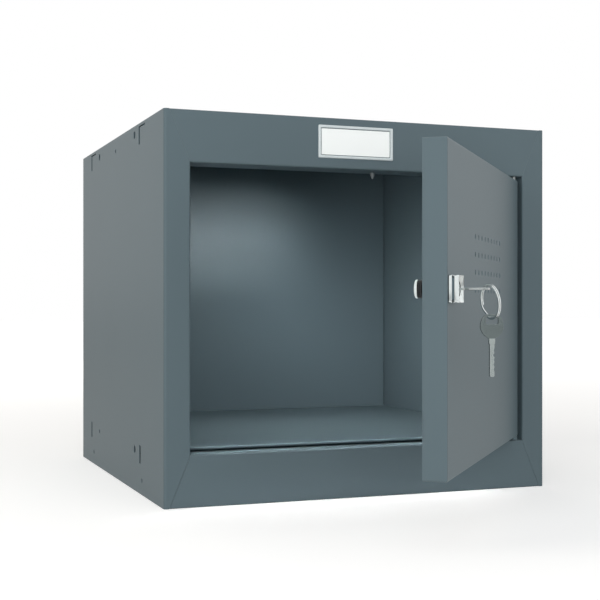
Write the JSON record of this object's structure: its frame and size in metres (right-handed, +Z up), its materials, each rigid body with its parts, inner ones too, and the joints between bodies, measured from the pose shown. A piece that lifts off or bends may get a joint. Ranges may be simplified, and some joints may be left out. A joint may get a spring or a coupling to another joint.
{
  "type": "cube locker",
  "caption": "Single cube locker in folded powder-coated steel with a vented hinged door, cam lock with flat key, split ring, spare key and a blank label holder.",
  "frame": {"origin": "middle of the base's underside", "axes": "+Z up, -Y out of the front, +X to the right as seen from the front, where the door's hinge is"},
  "size_m": [0.4, 0.6921, 0.366],
  "materials": {
    "grey_paint": "anthracite blue-grey powder coat, fine texture, low sheen",
    "chrome": "bright chrome plate",
    "steel": "nickel-plated steel, satin",
    "black_steel": "dark plated steel",
    "light_nylon": "pale grey nylon",
    "holder": "pale satin metal",
    "card": "blank white card"
  },
  "bodies": {
    "cabinet": {"left_side": "grey_paint", "right_side": "grey_paint", "top_panel": "grey_paint", "base_panel": "grey_paint", "back_panel": "grey_paint", "floor_panel": "grey_paint", "floor_rail_left": "grey_paint", "floor_rail_right": "grey_paint", "label_frame": "holder", "label_card": "card", "top_buffer": "light_nylon", "hinge_pin_lower": "steel", "hinge_pin_upper": "steel", "hinge_collar_lower": "grey_paint", "hinge_collar_upper": "grey_paint"},
    "door": {"door_panel": "grey_paint", "pivot_plate_lower": "steel", "pivot_plate_upper": "steel", "lock_housing": "chrome", "lock_nut": "steel"},
    "lock_core": {"lock_plug": "steel", "stop_washer": "steel", "lock_cam": "black_steel", "cam_nut": "chrome"},
    "inserted_key": {"key": "steel"},
    "key_ring": {"split_ring": "steel"},
    "hanging_key": {"spare_key": "steel"}
  },
  "joints": [
    {"name": "door_hinge", "type": "hinge", "parent": "cabinet", "child": "door", "pos_m": [0.168, -0.198, 0.183], "axis": [0, 0, 1], "range_deg": [-50.2, 50]},
    {"name": "lock_turn", "type": "hinge", "parent": "door", "child": "lock_core", "pos_m": [-0.0392, -0.45294, 0.1985], "axis": [0.7683, -0.6401, 0], "range_deg": [0, 180]},
    {"name": "key_pull", "type": "slide", "parent": "lock_core", "child": "inserted_key", "axis": [0.7683, -0.6401, 0], "range_m": [0, 0.026]},
    {"name": "ring_swing", "type": "hinge", "parent": "inserted_key", "child": "key_ring", "pos_m": [-0.01755, -0.47098, 0.1985], "axis": [-0.6401, -0.7683, 0], "range_deg": [-10, 80]},
    {"name": "spare_key_swing", "type": "hinge", "parent": "key_ring", "child": "hanging_key", "pos_m": [-0.01604, -0.47679, 0.17603], "axis": [-0.0035, 1, 0], "range_deg": [-45, 45]}
  ]
}
